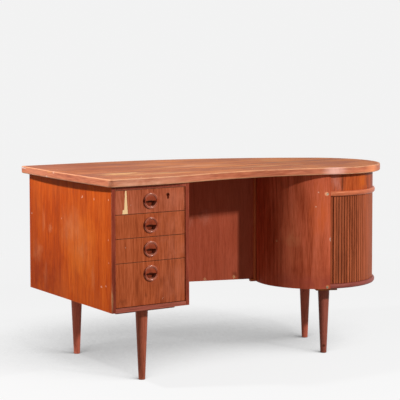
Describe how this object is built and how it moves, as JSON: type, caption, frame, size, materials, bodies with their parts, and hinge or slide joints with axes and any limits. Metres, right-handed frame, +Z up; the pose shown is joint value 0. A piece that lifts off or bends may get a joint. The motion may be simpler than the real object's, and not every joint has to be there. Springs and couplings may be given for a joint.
{
  "type": "tambour desk",
  "caption": "Curved-top wooden writing desk with a drawer pedestal, a round tambour cabinet, a kneehole with a modesty panel, a rear bookcase and tapered round legs.",
  "frame": {"origin": "on the floor, under the middle of the top's bounding box", "axes": "+X to the right along the drawer fronts, towards the round cabinet; +Y to the back; +Z up"},
  "size_m": [1.3185, 0.7539, 0.7335],
  "materials": {
    "teak": "satin",
    "teak_top": "worn satin",
    "teak_slats": "satin",
    "beech": "plain",
    "steel": "plain",
    "brass": "plain",
    "canvas": "woven"
  },
  "bodies": {
    "desk": {"top_panel": "teak_top", "top_edge_band": "teak", "pedestal_left_side": "teak", "pedestal_right_side": "teak", "pedestal_bottom": "teak", "pedestal_rear_rail": "teak", "pedestal_back": "teak", "drawer_runners": "beech", "pedestal_front_rail": "teak", "modesty_panel": "teak", "bookcase_end_panel": "teak", "bookcase_bottom": "teak", "bookcase_shelf": "teak", "shell_screws": "steel", "cabinet_bottom_plate": "teak", "cabinet_middle_plate": "teak", "cabinet_front_shell": "teak", "cabinet_rear_shell": "teak", "cabinet_frieze": "teak", "shell_corner_bead": "teak", "cabinet_posts": "beech", "cabinet_shelf": "teak", "shelf_pins": "beech", "leg_front_left": "teak", "leg_rear_left": "teak", "leg_front_right": "teak", "leg_rear_right": "teak", "leg_bolts": "steel", "pedestal_leg_batten": "beech", "cabinet_leg_batten": "beech"},
    "drawer_1": {"drawer_1_front": "teak", "drawer_1_pull": "teak", "drawer_1_left_side": "beech", "drawer_1_right_side": "beech", "drawer_1_bottom": "beech", "drawer_1_back": "beech", "lock_case": "steel"},
    "drawer_2": {"drawer_2_front": "teak", "drawer_2_pull": "teak", "drawer_2_left_side": "beech", "drawer_2_right_side": "beech", "drawer_2_bottom": "beech", "drawer_2_back": "beech"},
    "drawer_3": {"drawer_3_front": "teak", "drawer_3_pull": "teak", "drawer_3_left_side": "beech", "drawer_3_right_side": "beech", "drawer_3_bottom": "beech", "drawer_3_back": "beech"},
    "drawer_4": {"drawer_4_front": "teak", "drawer_4_pull": "teak", "drawer_4_left_side": "beech", "drawer_4_right_side": "beech", "drawer_4_bottom": "beech", "drawer_4_back": "beech"},
    "lock_bolt": {"lock_bolt": "brass"},
    "tambour": {"tambour_slats": "teak_slats", "tambour_canvas": "canvas", "tambour_lead_stile": "teak_slats"}
  },
  "joints": [
    {"name": "drawer_1_slide", "type": "slide", "parent": "desk", "child": "drawer_1", "axis": [0, -1, 0], "range_m": [0, 0.4]},
    {"name": "drawer_2_slide", "type": "slide", "parent": "desk", "child": "drawer_2", "axis": [0, -1, 0], "range_m": [0, 0.4]},
    {"name": "drawer_3_slide", "type": "slide", "parent": "desk", "child": "drawer_3", "axis": [0, -1, 0], "range_m": [0, 0.4]},
    {"name": "drawer_4_slide", "type": "slide", "parent": "desk", "child": "drawer_4", "axis": [0, -1, 0], "range_m": [0, 0.4]},
    {"name": "lock_bolt_slide", "type": "slide", "parent": "drawer_1", "child": "lock_bolt", "axis": [0, 0, 1], "range_m": [0, 0.009]},
    {"name": "tambour_turn", "type": "hinge", "parent": "desk", "child": "tambour", "pos_m": [0.4001, -0.1178, 0.2837], "axis": [0, 0, 1], "range_deg": [0, 136]}
  ]
}
